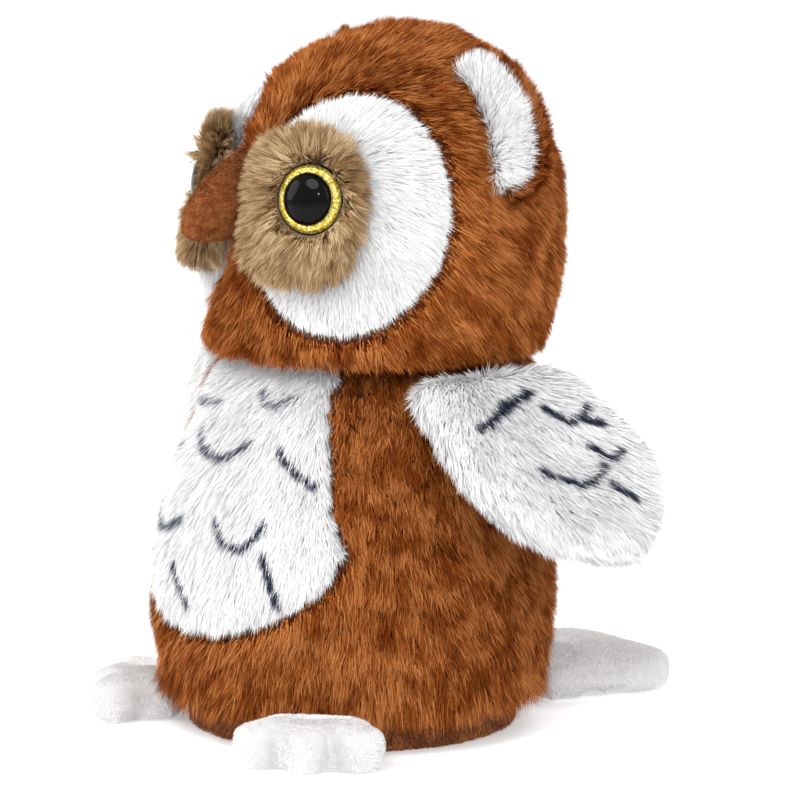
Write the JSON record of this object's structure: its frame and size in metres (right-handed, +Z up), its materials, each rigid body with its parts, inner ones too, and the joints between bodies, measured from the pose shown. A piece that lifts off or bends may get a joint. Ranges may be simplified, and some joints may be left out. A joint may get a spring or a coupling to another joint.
{
  "type": "owl hand puppet",
  "caption": "Free-standing owl hand puppet of fur fabric with a hollow body for the hand, a stuffed head that turns and nods, flapping wings, soft feet and a soft tail.",
  "frame": {"origin": "on the floor, in the middle of the outline seen from above", "axes": "+Z up; the owl faces -Y; its left side is +X"},
  "size_m": [0.2168, 0.2008, 0.2395],
  "materials": {
    "brown_fur": "long pile",
    "white_fur": "long pile",
    "tan_fur": "long pile",
    "brown_pile": "short pile",
    "white_plush": "short pile",
    "lining_cloth": "plain weave",
    "stuffing": "loose fibre",
    "black_plastic": "high gloss",
    "gold_glitter": "glitter",
    "washer_plastic": "as moulded"
  },
  "bodies": {
    "body": {"body_skin": "brown_fur", "belly_panel": "white_fur", "hem_band": "brown_pile", "body_lining": "lining_cloth"},
    "neck": {"neck_sleeve": "lining_cloth"},
    "head": {"head_skin": "brown_fur", "head_stuffing": "stuffing", "finger_sleeve": "lining_cloth", "beak": "brown_pile", "face_disc_left": "white_fur", "eye_patch_left": "tan_fur", "eye_cup_left": "black_plastic", "eye_glitter_left": "gold_glitter", "eye_pupil_left": "black_plastic", "eye_washer_left": "washer_plastic", "ear_back_left": "brown_fur", "ear_lining_left": "white_fur", "face_disc_right": "white_fur", "eye_patch_right": "tan_fur", "eye_cup_right": "black_plastic", "eye_glitter_right": "gold_glitter", "eye_pupil_right": "black_plastic", "eye_washer_right": "washer_plastic", "ear_back_right": "brown_fur", "ear_lining_right": "white_fur"},
    "tail": {"tail_top": "white_plush", "tail_stuffing": "stuffing", "tail_under": "white_plush"},
    "wing_left": {"wing_top_left": "white_fur", "wing_batting_left": "stuffing", "wing_under_left": "white_fur"},
    "foot_left": {"foot_top_left": "white_plush", "foot_stuffing_left": "stuffing", "foot_sole_left": "white_plush"},
    "wing_right": {"wing_top_right": "white_fur", "wing_batting_right": "stuffing", "wing_under_right": "white_fur"},
    "foot_right": {"foot_top_right": "white_plush", "foot_stuffing_right": "stuffing", "foot_sole_right": "white_plush"}
  },
  "joints": [
    {"name": "neck_turn", "type": "hinge", "parent": "body", "child": "neck", "pos_m": [0, -0.01313, 0.084], "axis": [0, 0, 1], "range_deg": [-20, 20]},
    {"name": "head_nod", "type": "hinge", "parent": "neck", "child": "head", "pos_m": [0, -0.01313, 0.084], "axis": [1, 0, 0], "range_deg": [-10, 3]},
    {"name": "wing_left_flap", "type": "hinge", "parent": "body", "child": "wing_left", "pos_m": [0.0595, -0.01113, 0.122], "axis": [0, -1, 0], "range_deg": [-24, 55]},
    {"name": "foot_left_flop", "type": "hinge", "parent": "body", "child": "foot_left", "pos_m": [0.04064, -0.06471, 0.001], "axis": [0.7193, 0.6947, 0], "range_deg": [-4, 50]},
    {"name": "wing_right_flap", "type": "hinge", "parent": "body", "child": "wing_right", "pos_m": [-0.0595, -0.01113, 0.122], "axis": [0, 1, 0], "range_deg": [-24, 55]},
    {"name": "foot_right_flop", "type": "hinge", "parent": "body", "child": "foot_right", "pos_m": [-0.04064, -0.06471, 0.001], "axis": [0.7193, -0.6947, 0], "range_deg": [-4, 50]},
    {"name": "tail_lift", "type": "hinge", "parent": "body", "child": "tail", "pos_m": [0, 0.04337, 0.0055], "axis": [1, 0, 0], "range_deg": [-30, 40]}
  ]
}
